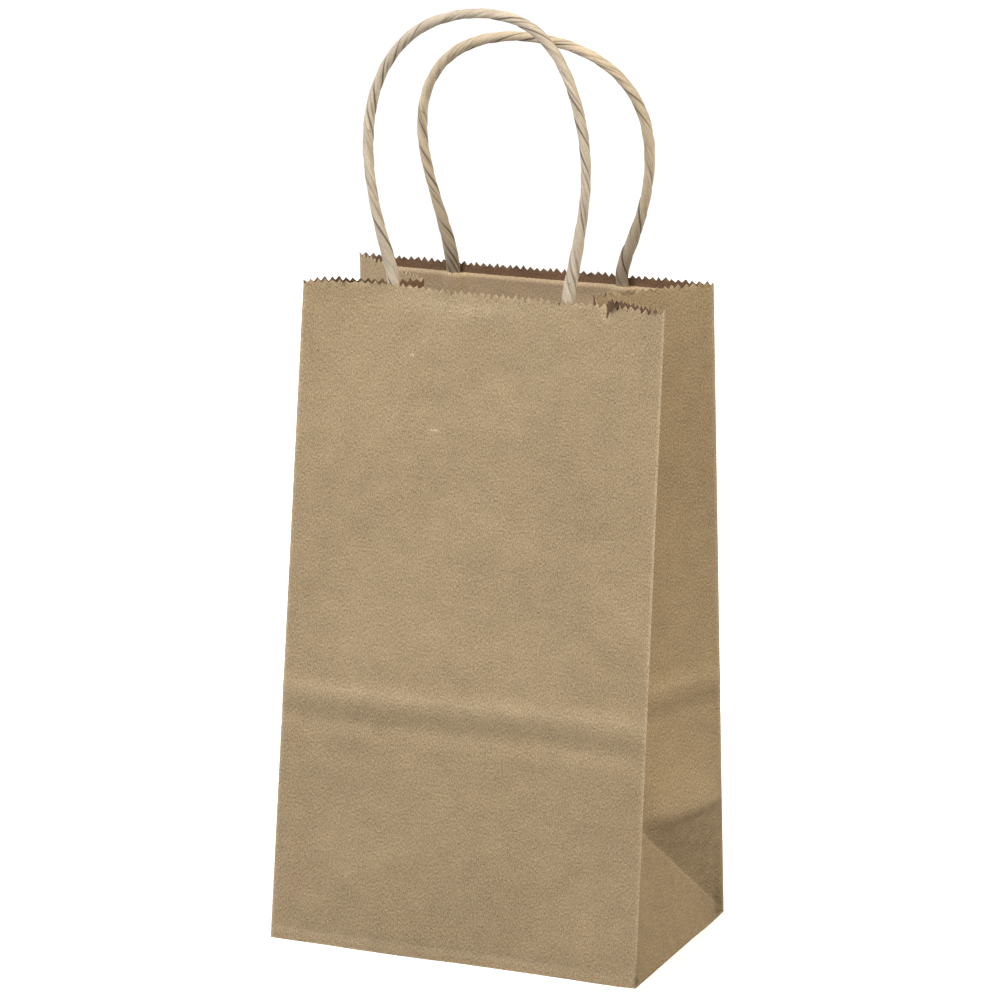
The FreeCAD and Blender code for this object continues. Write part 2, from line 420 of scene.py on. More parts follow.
def add_noise(tree, vector, scale, detail=4.0, roughness=0.6):
    texture = tree.nodes.new("ShaderNodeTexNoise")
    texture.inputs["Scale"].default_value = scale
    texture.inputs["Detail"].default_value = detail
    texture.inputs["Roughness"].default_value = roughness
    tree.links.new(vector, texture.inputs["Vector"])
    return texture.outputs["Fac"]


def add_range(tree, value, low, high, to_low=0.0, to_high=1.0):
    ranged = tree.nodes.new("ShaderNodeMapRange")
    ranged.inputs["From Min"].default_value = low
    ranged.inputs["From Max"].default_value = high
    ranged.inputs["To Min"].default_value = to_low
    ranged.inputs["To Max"].default_value = to_high
    tree.links.new(value, ranged.inputs["Value"])
    return ranged.outputs["Result"]


def add_math(tree, operation, first, second=0):
    node = tree.nodes.new("ShaderNodeMath")
    node.operation = operation
    for socket, value in zip(node.inputs, (first, second)):
        if isinstance(value, (int, float)):
            socket.default_value = value
        else:
            tree.links.new(value, socket)
    return node.outputs[0]


def add_tint(tree, colour, factor, tint):
    """Mixes a fixed tint into a colour, as much as a factor says."""
    node = tree.nodes.new("ShaderNodeMix")
    node.data_type = "RGBA"
    tree.links.new(factor, node.inputs["Factor"])
    tree.links.new(colour, node.inputs["A"])
    node.inputs["B"].default_value = (*tint, 1.0)
    return node.outputs["Result"]


def paper_fibres_group():
    """Kraft fibres: mottled colour, dark and light specks, and a fine uneven height."""
    found = bpy.data.node_groups.get("Kraft fibres")
    if found:
        return found
    group, start, end = node_group(
        "Kraft fibres",
        [("Vector", "NodeSocketVector", (0, 0, 0)),
         ("Colour", "NodeSocketColor", (0.4, 0.3, 0.2, 1)),
         ("Contrast", "NodeSocketFloat", 1.0)],
        [("Colour", "NodeSocketColor"), ("Roughness", "NodeSocketFloat"),
         ("Height", "NodeSocketFloat")])
    stretch = group.nodes.new("ShaderNodeMapping")
    stretch.inputs["Scale"].default_value = (1.0, 0.45, 1.0)
    group.links.new(start.outputs["Vector"], stretch.inputs["Vector"])
    vector = start.outputs["Vector"]
    fibres = add_noise(group, stretch.outputs["Vector"], 3000, 3, 0.7)
    grains = add_noise(group, vector, 1400, 3, 0.65)
    cloud = add_noise(group, vector, 150, 4, 0.55)
    patches = add_noise(group, vector, 22, 3, 0.5)
    parts = ((fibres, 2.0), (grains, 0.8), (cloud, 0.24), (patches, 0.22))
    total = None
    for source, weight in parts:
        centred = add_math(group, "SUBTRACT", source, 0.5)
        weighted = add_math(group, "MULTIPLY", centred, weight)
        total = weighted if total is None else add_math(group, "ADD", total, weighted)
    swing = add_math(group, "MULTIPLY", total, start.outputs["Contrast"])
    brightness = add_math(group, "ADD", swing, 1.0)
    scale = group.nodes.new("ShaderNodeVectorMath")
    scale.operation = "SCALE"
    group.links.new(start.outputs["Colour"], scale.inputs[0])
    group.links.new(brightness, scale.inputs["Scale"])
    colour = scale.outputs["Vector"]
    for fineness, low, high, most, tint in ((900, 0.69, 0.76, 0.35, (0.12, 0.075, 0.035)),
                                            (760, 0.70, 0.78, 0.3, (0.62, 0.50, 0.34))):
        specks = add_noise(group, stretch.outputs["Vector"], fineness, 2, 0.5)
        colour = add_tint(group, colour, add_range(group, specks, low, high, 0, most), tint)
    group.links.new(colour, end.inputs["Colour"])
    group.links.new(add_range(group, cloud, 0.3, 0.7, 0.78, 0.92), end.inputs["Roughness"])
    height = add_math(group, "ADD", fibres, add_math(group, "MULTIPLY", grains, 0.8))
    group.links.new(height, end.inputs["Height"])
    return group


def start_material(name, specular):
    """A node material, its tree and its shader."""
    material = bpy.data.materials.new(name)
    material.use_nodes = True
    shader = material.node_tree.nodes["Principled BSDF"]
    shader.inputs["Specular IOR Level"].default_value = specular
    return material, material.node_tree, shader


def add_attribute(tree, name):
    layer = tree.nodes.new("ShaderNodeAttribute")
    layer.attribute_name = name
    return layer


def add_bump(tree, shader, height, strength, distance):
    bumps = tree.nodes.new("ShaderNodeBump")
    bumps.inputs["Strength"].default_value = strength
    bumps.inputs["Distance"].default_value = distance
    tree.links.new(height, bumps.inputs["Height"])
    tree.links.new(bumps.outputs["Normal"], shader.inputs["Normal"])


def paper_material(name, colour, coordinates="UV", worn=False, contrast=1.0):
    """A matt kraft paper; a worn one is lightened where its attribute of rubbed wear and painted highlight
    says, and darkened with painted shade where its shade attribute says.
    """
    found = bpy.data.materials.get(name)
    if found:
        return found
    material, tree, shader = start_material(name, 0.25)
    where = tree.nodes.new("ShaderNodeTexCoord")
    base = tree.nodes.new("ShaderNodeRGB")
    base.outputs[0].default_value = (*colour, 1.0)
    fibres = tree.nodes.new("ShaderNodeGroup")
    fibres.node_tree = paper_fibres_group()
    fibres.inputs["Contrast"].default_value = contrast
    tree.links.new(where.outputs[coordinates], fibres.inputs["Vector"])
    result = base.outputs[0]
    if worn:
        # A light tint for rubbed wear and painted highlights, and a dark tint for painted shade.
        rubbed_and_highlight_tint = tuple(0.07 + 1.3 * value for value in colour)
        painted_shade_tint = tuple(0.42 * value for value in colour)
        for attribute, tint in (("wear_and_highlight", rubbed_and_highlight_tint), ("shade", painted_shade_tint)):
            layer = add_attribute(tree, attribute)
            patchy = add_noise(tree, where.outputs[coordinates], 260, 4, 0.65)
            ragged = add_range(tree, patchy, 0.35, 0.6, 0.45, 1.0)
            amount = add_math(tree, "MULTIPLY", layer.outputs["Fac"], ragged)
            result = add_tint(tree, result, amount, tint)
    tree.links.new(result, fibres.inputs["Colour"])
    tree.links.new(fibres.outputs["Colour"], shader.inputs["Base Color"])
    tree.links.new(fibres.outputs["Roughness"], shader.inputs["Roughness"])
    add_bump(tree, shader, fibres.outputs["Height"], 0.35, 0.05 * MM)
    return material


def rope_material(name, colour):
    """Twisted paper: streaks that follow the twist, with painted shade in the folds."""
    material, tree, shader = start_material(name, 0.3)
    strand, hollow = add_attribute(tree, "strand"), add_attribute(tree, "hollow")
    where = tree.nodes.new("ShaderNodeTexCoord")
    base = tree.nodes.new("ShaderNodeRGB")
    base.outputs[0].default_value = (*colour, 1.0)
    streaks = add_noise(tree, strand.outputs["Vector"], 2300, 4, 0.65)
    broad = add_noise(tree, strand.outputs["Vector"], 600, 3, 0.5)
    speckle = add_noise(tree, where.outputs["Object"], 1700, 3, 0.65)
    tone = None
    for source, weight in ((streaks, 1.0), (broad, 0.5), (speckle, 0.6)):
        part = add_math(tree, "MULTIPLY", add_math(tree, "SUBTRACT", source, 0.5), weight)
        tone = part if tone is None else add_math(tree, "ADD", tone, part)
    scale = tree.nodes.new("ShaderNodeVectorMath")
    scale.operation = "SCALE"
    tree.links.new(base.outputs[0], scale.inputs[0])
    tree.links.new(add_math(tree, "ADD", tone, 1.0), scale.inputs["Scale"])
    # A dark tint, for thin winding lines and for painted shade.
    dark = tuple(0.2 * value for value in colour)
    winding = add_noise(tree, strand.outputs["Vector"], 1000, 2, 0.5)
    off_line = add_math(tree, "ABSOLUTE", add_math(tree, "SUBTRACT", winding, 0.5))
    thread = add_range(tree, off_line, 0.004, 0.02, 0.6, 0.0)
    thread = add_math(tree, "MULTIPLY", thread, add_range(tree, broad, 0.42, 0.58))
    result = add_tint(tree, scale.outputs["Vector"], thread, dark)
    # Painted shade where the hollow attribute says: the rope's creases and fine folds, and the back handle's
    # legs in the bag's mouth.
    result = add_tint(tree, result, hollow.outputs["Fac"], dark)
    tree.links.new(result, shader.inputs["Base Color"])
    tree.links.new(add_range(tree, streaks, 0.3, 0.7, 0.55, 0.8), shader.inputs["Roughness"])
    add_bump(tree, shader, streaks, 0.6, 0.16 * MM)
    return material


def outside_paper():
    return paper_material("Kraft outside", colours().outside, worn=True, contrast=1.3)


def inside_paper():
    return paper_material("Kraft inside", colours().inside, contrast=1.1)


# ------------------------------------------------------------ folded sheet
def panel_columns():
    """Panels round the bag: (kind, side, flip) and the columns of each."""
    size = sizes()
    wall = 2 * round(size.base_half_width * 2 / size.tooth_pitch)
    half = 2 * round(size.base_half_depth / size.tooth_pitch)
    return [("wall", 1, False, wall), ("gusset", 1, False, half), ("gusset", -1, False, half),
            ("wall", -1, False, wall), ("gusset", -1, True, half), ("gusset", 1, True, half)]


def row_heights(low_rows, high_rows):
    """Heights of the sheet's rows: fine below the gussets' low point and at the teeth."""
    size = sizes()
    half = size.base_half_depth
    heights = [half * i / low_rows for i in range(low_rows)]
    close = size.wall_length - 9 * MM
    top = size.wall_length - size.tooth_height
    heights += [mix(half, close, i / high_rows) for i in range(high_rows)]
    heights += [mix(close, top, i / 8) for i in range(9)]
    return heights + [size.wall_length]


def find_panel(panels, column):
    """The panel that a column is in, and its share of the way across."""
    first = 0
    for index, (kind, side, flip, count) in enumerate(panels):
        if column <= first + count:
            return index, (column - first) / count
        first += count
    raise ValueError("the column is past the sheet's edge")


def sheet_place(panels, walls, column, v):
    index, share = find_panel(panels, column)
    kind, side, flip, _ = panels[index]
    if kind == "wall":
        run = 2 * share - 1 if side > 0 else 1 - 2 * share
        wall = walls[side]
        return wall.at(run * wall.half_width(v), v)
    starts_at_wall = (side > 0) != flip
    q = share if starts_at_wall else 1 - share
    return gusset_point(flip, walls[side], q, v)


def edge_lift(index, share, panels):
    """How much higher than its plain line the cut edge runs."""
    kind, side, flip, _ = panels[index]
    if side > 0:
        return 0.0
    if kind == "wall":
        reach = 1 - 2 * share
        return (0.4 + 0.45 * (1 - reach**2) + 0.8 * hump(reach + 0.62, 0.28)) * MM
    q = share if flip else 1 - share
    sunk = 0.0 if flip else 4.0 * hump(q - 0.87, 0.09)
    return (0.4 * (1 - q) + (1.1 if flip else 0.2) * hump(q - 0.3, 0.25) - sunk) * MM


def tear_nick(bm, column_layer, row_layer, first, count, heights, wall):
    """The small tear in the front's edge: a slit whose sides spread and curl."""
    x_share = NICK_X / wall.half_width(sizes().wall_length)
    column = first + round((1 - x_share) / 2 * count)
    low = sizes().wall_length - NICK_DEPTH
    slit = []
    for edge in bm.edges:
        ends = edge.verts
        on_line = all(v[column_layer] == column for v in ends)
        if on_line and all(heights[v[row_layer]] >= low - 1e-6 for v in ends):
            slit.append(edge)
    bmesh.ops.split_edges(bm, edges=slit)
    wear_and_highlight = bm.verts.layers.float["wear_and_highlight"]
    for vert in bm.verts:
        offset = vert[column_layer] - column
        height = heights[vert[row_layer]]
        if height <= low or abs(offset) > 8:
            continue
        mean = sum(f.calc_center_median().x for f in vert.link_faces) / len(vert.link_faces)
        to_right = mean > vert.co.x if offset == 0 else offset < 0
        rise = (height - low) / NICK_DEPTH
        # Both sides of the tear are painted lighter: torn fibres and, partly, a painted highlight where the
        # flaps catch the light.
        if to_right:
            vert.co.x += 1.9 * MM * rise**1.2 * hump(offset, 3.2)
            vert.co.z -= 1.1 * MM * rise * hump(offset, 1.7)
            vert.co += wall.out * 0.7 * MM * rise * (hump(offset, 1.3) - 0.6 * hump(offset, 4.0))
            vert[wear_and_highlight] += 0.7 * hump(offset, 0.8)
        else:
            vert.co.x -= 0.2 * MM * rise * hump(offset, 1.6)
            vert.co.z += 0.5 * MM * rise * hump(offset, 2.0)
            vert.co -= wall.out * 1.2 * MM * rise**2 * hump(offset, 3.0)
            vert[wear_and_highlight] += 0.35 * hump(offset, 2.6)


def wear_and_painted_light(index, share, v, panels):
    """How light the paper is painted at a place of the sheet, from rubbed wear and painted highlight, and
    how much painted shade it takes.
    """
    size = sizes()
    kind, side, flip, count = panels[index]
    span = count * size.tooth_pitch / 2
    from_edge = min(share, 1 - share) * span
    if kind == "gusset" and v < size.base_half_depth:
        from_edge = (share if (side > 0) != flip else 1 - share) * span
    wear_and_highlight = 0.9 * hump(from_edge, 0.8 * MM)
    wear_and_highlight += 0.3 * hump(v, 0.6 * MM)
    above = v - FOLD_BAND - band_sag(share * span)
    # The fold band's light lines, above its ridge and under its dark band, are partly rubbed crease and
    # partly painted highlight where the paper faces the light.
    wear_and_highlight += 0.2 * hump(above - 4.6 * MM, 1.2 * MM) + 0.24 * hump(above - 3.0 * MM, 2.6 * MM)
    wear_and_highlight += 0.16 * hump(above + 8.2 * MM, 0.8 * MM)
    # The cut edge's teeth are lighter: rubbed paper, and partly a painted highlight on their edges.
    wear_and_highlight += 0.42 * hump(v - size.wall_length, 1.2 * MM)
    # Painted shade: a dark band under the fold band's ridge, and the walls darker towards the bottom where
    # less light falls.
    shade = 0.2 * hump(above + 4.2 * MM, 2.2 * MM) + 0.12 * smooth((120 * MM - v) / (110 * MM))
    if kind == "wall":
        # Painted highlight: a lighter strip under the wall's top edge, where the paper bulges over the glued
        # patch.
        strip = size.wall_length - 5.5 * MM
        wear_and_highlight += 0.6 * hump(v - strip, 3.0 * MM) * hump((share - 0.56) * span, 24 * MM)
        wear_and_highlight += 0.5 * hump(v - 3.6 * MM, 1.2 * MM) * (0.5 + 0.5 * smooth((share - 0.15) * 4))
    else:
        q = share if (side > 0) != flip else 1 - share
        half = size.base_half_depth
        slant = v - q * half
        if v < half + 4 * MM:
            wear_and_highlight += 0.35 * hump(slant, 0.8 * MM)
            # Painted shade on the facet under the slanting crease, stronger on the rear half, a painted
            # shadow in the corner at the foot, and painted shade on the base triangle under the slant.
            inside = smooth(slant / (1.5 * MM)) * smooth((slant_crease(q) - v) / (1.5 * MM))
            shade += (0.36 if side > 0 else 0.12) * inside + 0.9 * hump(v, 8 * MM) * hump(q, 0.16)
            shade += 0.16 * smooth(-slant / (1.5 * MM))
        above_crease = v - slant_crease(q)
        wear_and_highlight += 0.3 * hump(above_crease, 0.9 * MM)
        # Painted highlight on the rear half, just above its slanting crease.
        if side > 0 and above_crease > 0:
            wear_and_highlight += 0.16 * hump(above_crease, 9 * MM) * smooth(q * 3)
    return min(wear_and_highlight, 1.0), min(shade, 1.0)


def fold_sheet():
    """The bag's body: one flat sheet, folded, closed and torn a little."""
    random.seed(7)
    size = sizes()
    walls = {1: Wall(1), -1: Wall(-1)}
    panels = panel_columns()
    columns = sum(panel[3] for panel in panels)
    low_rows = panels[1][3]
    high_rows = 72
    heights = row_heights(low_rows, high_rows)
    bm, column_layer, row_layer = grid_sheet(columns, len(heights) - 1)
    uv = bm.loops.layers.uv.new("Sheet")
    step = size.tooth_pitch / 2
    for face in bm.faces:
        for loop in face.loops:
            vert = loop.vert
            loop[uv].uv = (vert[column_layer] * step, heights[vert[row_layer]])
    wear_and_highlight_layer = bm.verts.layers.float.new("wear_and_highlight")
    painted_shade_layer = bm.verts.layers.float.new("shade")
    last = len(heights) - 1
    jitter = [random.uniform(-1, 1) for _ in range(columns + 1)]
    for vert in bm.verts:
        column, row = vert[column_layer], vert[row_layer]
        v = heights[row]
        index, share = find_panel(panels, column)
        if row == last:
            on_front = panels[index][:2] == ("wall", -1)
            bite = mix(1.2, 0.75, smooth((share - 0.5) / 0.35)) if on_front else 1.0
            tip = size.tooth_height * bite if column % 2 else 0.0
            v += jitter[column] * TOOTH_RAGGED - tip
        # Rubbed wear with painted highlights, and painted shade, at each vertex.
        vert[wear_and_highlight_layer], vert[painted_shade_layer] = wear_and_painted_light(index, share, v, panels)
        v += edge_lift(index, share, panels) * smooth((heights[row] / size.wall_length - 0.9) * 10)
        vert.co = sheet_place(panels, walls, column, v)
        if row == last:
            lean = jitter[(column * 7) % columns]
            vert.co += walls[-1].out * lean * TOOTH_CURL
            vert.co.x += TOOTH_RAGGED * jitter[(column * 5) % columns]
    boundaries = {sum(panel[3] for panel in panels[:i]) for i in range(len(panels) + 1)}
    soft = [v for v in bm.verts
            if heights[v[row_layer]] < size.base_half_depth + 6 * MM and v[row_layer] > 0
            and panels[find_panel(panels, v[column_layer])[0]][0] == "gusset"
            and v[column_layer] not in boundaries]
    bmesh.ops.smooth_vert(bm, verts=soft, factor=0.5,
                          use_axis_x=True, use_axis_y=True, use_axis_z=True)
    front_first = sum(panel[3] for panel in panels[:3])
    tear_nick(bm, column_layer, row_layer, front_first, panels[3][3], heights, walls[-1])
    rim = [v for v in bm.verts if v[column_layer] in (0, columns)]
    bmesh.ops.remove_doubles(bm, verts=rim, dist=0.02 * MM)
    for edge in bm.edges:
        ends = [v[column_layer] for v in edge.verts]
        if edge.is_boundary or (ends[0] == ends[1] and ends[0] in boundaries):
            edge.smooth = False
    bmesh.ops.reverse_faces(bm, faces=bm.faces)
    return bm


class GIFTBAG_OT_body(bpy.types.Operator):
    """Fold the kraft sheet into the bag's two walls and two gussets"""
    bl_idname = "giftbag.body"
    bl_label = "Folded sheet"

    def execute(self, context):
        sheet = new_piece(fold_sheet(), "kraft_sheet", [outside_paper(), inside_paper()])
        thicken(sheet, PAPER, inner_material=True)
        size = sizes()
        foot = Vector((0, -size.base_half_depth, 0))
        back_top = Vector((0, size.back_top_y - 2 * MM, size.wall_length))
        still = (back_top - foot).normalized()      # from the front foot to the back's top
        across = Vector((0, -still.z, still.y))
        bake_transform(sheet, "root", "front_wall", start=back_top, end=back_top + across * MOVING_DEPTH)
        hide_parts("front_panel", "back_panel",
                    *(f"{part}_{side}" for side in ("right", "left") for part in (
                        "gusset_front_half", "gusset_rear_half", "gusset_front_corner",
                        "gusset_rear_corner", "base_side_triangle")))
        return {"FINISHED"}


# ----------------------------------------------------------- strips inside
def strip_mesh(wall, x_low, x_high, v_low, v_high, depth):
    """A strip of paper on the inside of a wall; depth gives its distance from it."""
    columns = max(4, round((x_high - x_low) / (1.2 * MM)))
    rows = max(4, round((v_high - v_low) / (1.6 * MM)))
    bm, column_layer, row_layer = grid_sheet(columns, rows)
    uv = bm.loops.layers.uv.new("Sheet")
    for vert in bm.verts:
        x = mix(x_low, x_high, vert[column_layer] / columns)
        v = mix(v_low, v_high, vert[row_layer] / rows)
        vert.co = wall.at(x, v, depth(x, v))
        for loop in vert.link_loops:
            loop[uv].uv = (x + 1.0, v)
    if wall.side < 0:
        bmesh.ops.reverse_faces(bm, faces=bm.faces)
    return bm


def ply_depth(wall, inner):
    """Distance of a patch's ply from the wall's outer face; the inner one bulges."""
    rope = rope_sizes()
    top = sizes().wall_length - sizes().patch_drop

    def depth(x, v):
        if not inner:
            return PAPER * 1.35
        rest = PAPER * 2.7
        bulge = 0.0
        for foot in wall.feet:
            low = (foot, top - rope.end_length)
            far = off_segment(x, v, low, (foot, top))
            bulge = max(bulge, smooth(1.35 - far / (3.6 * MM)))
        curl = 0.5 * MM * smooth((v - top + 5 * MM) / (5 * MM))
        curl *= 0.6 + 0.5 * math.sin(x / (17 * MM))
        return rest + bulge * (rope.flat_depth + 0.1 * MM) + curl

    return depth


class GIFTBAG_OT_patches(bpy.types.Operator):
    """Glue the two plies of each patch, and the seam's flap, to the insides of the walls"""
    bl_idname = "giftbag.patches"
    bl_label = "Patches and seam"

    def execute(self, context):
        size = sizes()
        high = size.wall_length - size.patch_drop
        paper = paper_material("Kraft patch", colours().patch, contrast=0.9)
        for side, label, body in ((-1, "front", "front_wall"), (1, "back", "root")):
            wall = Wall(side)
            for ply, inner in (("outer", False), ("inner", True)):
                bm = strip_mesh(wall, -size.patch_half_width, size.patch_half_width,
                                high - size.patch_height, high, ply_depth(wall, inner))
                strip = new_piece(bm, f"{label}_patch_{ply}", [paper], body)
                thicken(strip, PAPER)
                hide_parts(f"{label}_patch_{ply}_ply")
        low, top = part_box("glued_seam_flap")
        bm = strip_mesh(Wall(1), low[0], top[0], 1.2 * MM, high, lambda x, v: PAPER * 1.35)
        seam = new_piece(bm, "seam_flap", [inside_paper()], "root")
        thicken(seam, PAPER)
        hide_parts("glued_seam_flap")
        return {"FINISHED"}


# ---------------------------------------------------------------- handles
# Middle lines of the handles: along X, and up from the swing line (mm).
front_route = [
    (-34.3, 0.0), (-37.8, 12.0), (-41.4, 29.0), (-43.6, 45.0), (-42.6, 60.0), (-37.4, 73.5),
    (-27.6, 84.2), (-14.2, 89.8), (0.2, 91.1), (13.4, 87.8), (23.0, 79.0), (29.6, 66.4),
    (34.0, 51.0), (35.2, 35.0), (32.8, 17.0), (29.6, 0.0)]
back_route = [
    (-29.3, 0.0), (-32.6, 13.0), (-37.0, 28.0), (-39.2, 43.0), (-37.0, 57.0), (-29.9, 68.2),
    (-18.4, 75.4), (-4.0, 78.2), (10.2, 77.2), (23.4, 73.5), (34.8, 66.0), (42.2, 54.2),
    (44.0, 39.2), (41.6, 24.0), (37.0, 11.0), (32.2, 0.0)]


def rope_route(wall, route):
    """Control points of a rope, from one hidden end over the arch to the other."""
    size, rope = sizes(), rope_sizes()
    top = size.wall_length - size.patch_drop
    depth = 2 * PAPER + rope.flat_depth / 2
    swing = size.wall_length + rope.swing_height
    rise = Vector((0, -wall.side * math.sin(rope.lean), math.cos(rope.lean)))

    def hidden(x, v):
        return wall.at(x, v, depth)

    start = wall.plane(0, swing) - wall.out * depth
    points = []
    for x, up in route:
        pulled = 0.6 * MM - wall.relief(x * MM, size.wall_length)
        pulled *= 1 - smooth(up / 32)
        points.append(Vector((x * MM, start.y, start.z)) + rise * up * MM - wall.out * pulled)
    feet = (route[0][0] * MM, route[-1][0] * MM)
    first = [hidden(feet[0], top - share * rope.end_length) for share in (1.0, 0.55, 0.1)]
    last = [hidden(feet[1], top - share * rope.end_length) for share in (0.1, 0.55, 1.0)]
    return first + points + last


def smooth_line(points):
    """Points read along a NURBS spline through a route's control points."""
    curve = bpy.data.curves.new("rope_line", "CURVE")
    curve.dimensions = "3D"
    spline = curve.splines.new("NURBS")
    spline.points.add(len(points) - 1)
    for target, point in zip(spline.points, points):
        target.co = (*point, 1.0)
    spline.order_u = 3
    spline.use_endpoint_u = True
    spline.resolution_u = 20
    line = bpy.data.objects.new("rope_line", curve)
    mesh = bpy.data.meshes.new_from_object(line)
    places = [vert.co.copy() for vert in mesh.vertices]
    bpy.data.objects.remove(line)
    bpy.data.curves.remove(curve)
    bpy.data.meshes.remove(mesh)
    return places


def wrapped(angle):
    """The same angle between minus and plus half a turn."""
    return (angle + math.pi) % (2 * math.pi) - math.pi


# Creases of the twisted paper: place round the rope (radians), depth as a share of
# the radius, width (radians), how it wanders and how it fades (turns per mm).
twist_creases = [
    (3.0, 0.20, 0.26, 0.10, 0.007),
    (0.9, 0.17, 0.22, 0.20, 0.016),
    (-1.3, 0.15, 0.20, 0.25, 0.011),
    (-2.2, 0.08, 0.14, 0.30, 0.020),
    (1.9, 0.08, 0.14, 0.25, 0.025),
]
twist_laps = ((-1.3, 0.9), (0.9, 3.0), (3.0, 4.98))    # each lap's edges (radians)


def rope_sway(run, seed):
    """How far the folds run ahead of an even twist, or behind it (radians)."""
    return 0.22 * math.sin(run * 0.06 + seed)


def twist_relief(angle, run, seed):
    """Shape of the twisted paper round the rope: laps, creases and fine ripples."""
    sway = rope_sway(run, seed)
    relief = 0.0
    for low, high in twist_laps:
        share = ((angle - sway - low) % math.tau) / (high - low)
        if share < 1:
            relief += 0.13 * (share - 0.5)
    for place, depth, width, wander, fade in twist_creases:
        drift = sway + wander * math.sin(run * 0.09 + seed * place)
        strength = 0.55 + 0.45 * math.sin(run * fade * math.tau + seed + 4 * place)
        relief -= depth * strength * hump(wrapped(angle - place - drift), width)
    relief += 0.012 * math.sin(5 * angle + 0.23 * run)
    relief += 0.009 * math.sin(11 * angle - 0.31 * run + seed)
    return relief


def fold_lines(angle, run, seed):
    """How much shade is painted into the fine folds of the twisted paper at a place of the rope."""
    sway = rope_sway(run, seed)
    dark = 0.0
    for place, depth, _, wander, fade in twist_creases:
        drift = sway + wander * math.sin(run * 0.09 + seed * place)
        strength = 0.5 + 0.5 * math.sin(run * fade * math.tau * 1.7 + 2 * seed + 4 * place)
        width = 0.09 + 0.06 * strength
        dark += 9.0 * depth * strength**1.5 * hump(wrapped(angle - place - drift), width)
    return dark


def rope_mesh(line, plane_normal, seed, foot_shade, around=96):
    """Sweeps the twisted section along a line; its ends are pressed flat."""
    rope = rope_sizes()
    count = len(line)
    bm, column_layer, row_layer = grid_sheet(around, count - 1)
    strand = bm.verts.layers.float_vector.new("strand")
    hollow = bm.verts.layers.float.new("hollow")
    lengths = [0.0]
    for before, after in zip(line, line[1:]):
        lengths.append(lengths[-1] + (after - before).length)
    total = lengths[-1]
    radius = 0.95 * rope.diameter / 2
    for vert in bm.verts:
        row = vert[row_layer]
        along = lengths[row]
        before, after = line[max(row - 1, 0)], line[min(row + 1, count - 1)]
        tangent = (after - before).normalized()
        side = tangent.cross(plane_normal).normalized()
        depth = side.cross(tangent).normalized()
        from_end = min(along, total - along) - rope.end_length
        press = 1 - smooth((from_end - 1 * MM) / (34 * MM))
        deep_press = 1 - smooth((from_end + 1 * MM) / (9 * MM))
        thin = 1 - smooth(min(along, total - along) / (4 * MM))
        theta = 2 * math.pi * vert[column_layer] / around
        run = along / MM
        turn = 2 * math.pi * along / rope.twist_pitch
        turn += 0.5 * math.sin(run * 0.045 + seed)
        relief = twist_relief(theta - turn, run, seed)
        girth = 1 + 0.035 * math.sin(run * 0.16 + seed) + 0.03 * math.sin(run * 0.071 + 3 * seed)
        width = radius * girth * mix(1.0, rope.flat_width / rope.diameter, press)
        thick = radius * girth * mix(1.0, 0.86, press)
        thick = mix(thick, rope.flat_depth / 2, deep_press) * (1 - 0.5 * thin)
        reach = 1 + relief * (1 - 0.5 * deep_press)
        vert.co = line[row] + side * (math.cos(theta) * width * reach)
        vert.co += depth * (math.sin(theta) * thick * reach)
        spin = theta - turn
        vert[strand] = (math.cos(spin) * radius, math.sin(spin) * radius, along * 0.06)
        # Painted shade in the hollow attribute: darker where the twisted paper dips in and along its fine
        # folds, and towards the feet by foot_shade.
        shade = max(-relief * 3.2 - 0.3, 0.0) + fold_lines(theta - turn, run, seed)
        shade += foot_shade * (1 - smooth((from_end - 2 * MM) / (52 * MM)))
        vert[hollow] = min(shade, 0.95)
    seam = [v for v in bm.verts if v[column_layer] in (0, around)]
    bmesh.ops.remove_doubles(bm, verts=seam, dist=0.002 * MM)
    rims = [e for e in bm.edges if e.is_boundary]
    bmesh.ops.holes_fill(bm, edges=rims, sides=0)
    bmesh.ops.recalc_face_normals(bm, faces=bm.faces)
    return bm


class GIFTBAG_OT_handles(bpy.types.Operator):
    """Twist the two paper ropes and bend them into handles"""
    bl_idname = "giftbag.handles"
    bl_label = "Twisted handles"

    def execute(self, context):
        size, rope, tone = sizes(), rope_sizes(), colours()
        # The last number is painted shade on a handle's legs, for the back one where they stand in the bag's
        # mouth.
        makes = ((-1, "front", "front_wall", front_route, tone.front_rope, 0.4, 0.0),
                 (1, "back", "root", back_route, tone.back_rope, 2.1, 0.36))
        for side, label, body, route, colour, seed, foot_shade in makes:
            wall = Wall(side)
            line = smooth_line(rope_route(wall, route))
            paper = rope_material(f"Twisted rope {label}", colour)
            shape = rope_mesh(line, Vector((0, 1, 0)), seed, foot_shade)
            handle = new_piece(shape, f"{label}_rope", [paper])
            leave = wall.at(route[0][0] * MM, size.wall_length - size.patch_drop,
                            2 * PAPER + rope.flat_depth / 2)
            hinge = wall.plane(0, size.wall_length + rope.swing_height)
            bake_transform(handle, body, f"{label}_handle",
                     start=hinge - Vector((0, 0, 3.5 * MM)), end=hinge + Vector((0, 0, 7 * MM)))
            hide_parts(f"{label}_handle_loop", f"{label}_handle_end_left",
                        f"{label}_handle_end_right")
        return {"FINISHED"}


# ------------------------------------------------------------------- base
class GIFTBAG_OT_base(bpy.types.Operator):
    """Give the glued flaps of the base their paper"""
    bl_idname = "giftbag.base"
    bl_label = "Base flaps"

    def execute(self, context):
        paper = paper_material("Kraft base", colours().outside, coordinates="Object")
        for name in ("base_outer_flap", "base_inner_flap",
                     "base_tuck_flap_right", "base_tuck_flap_left"):
            for slot in bpy.data.objects[name].material_slots:
                slot.material = paper
        return {"FINISHED"}


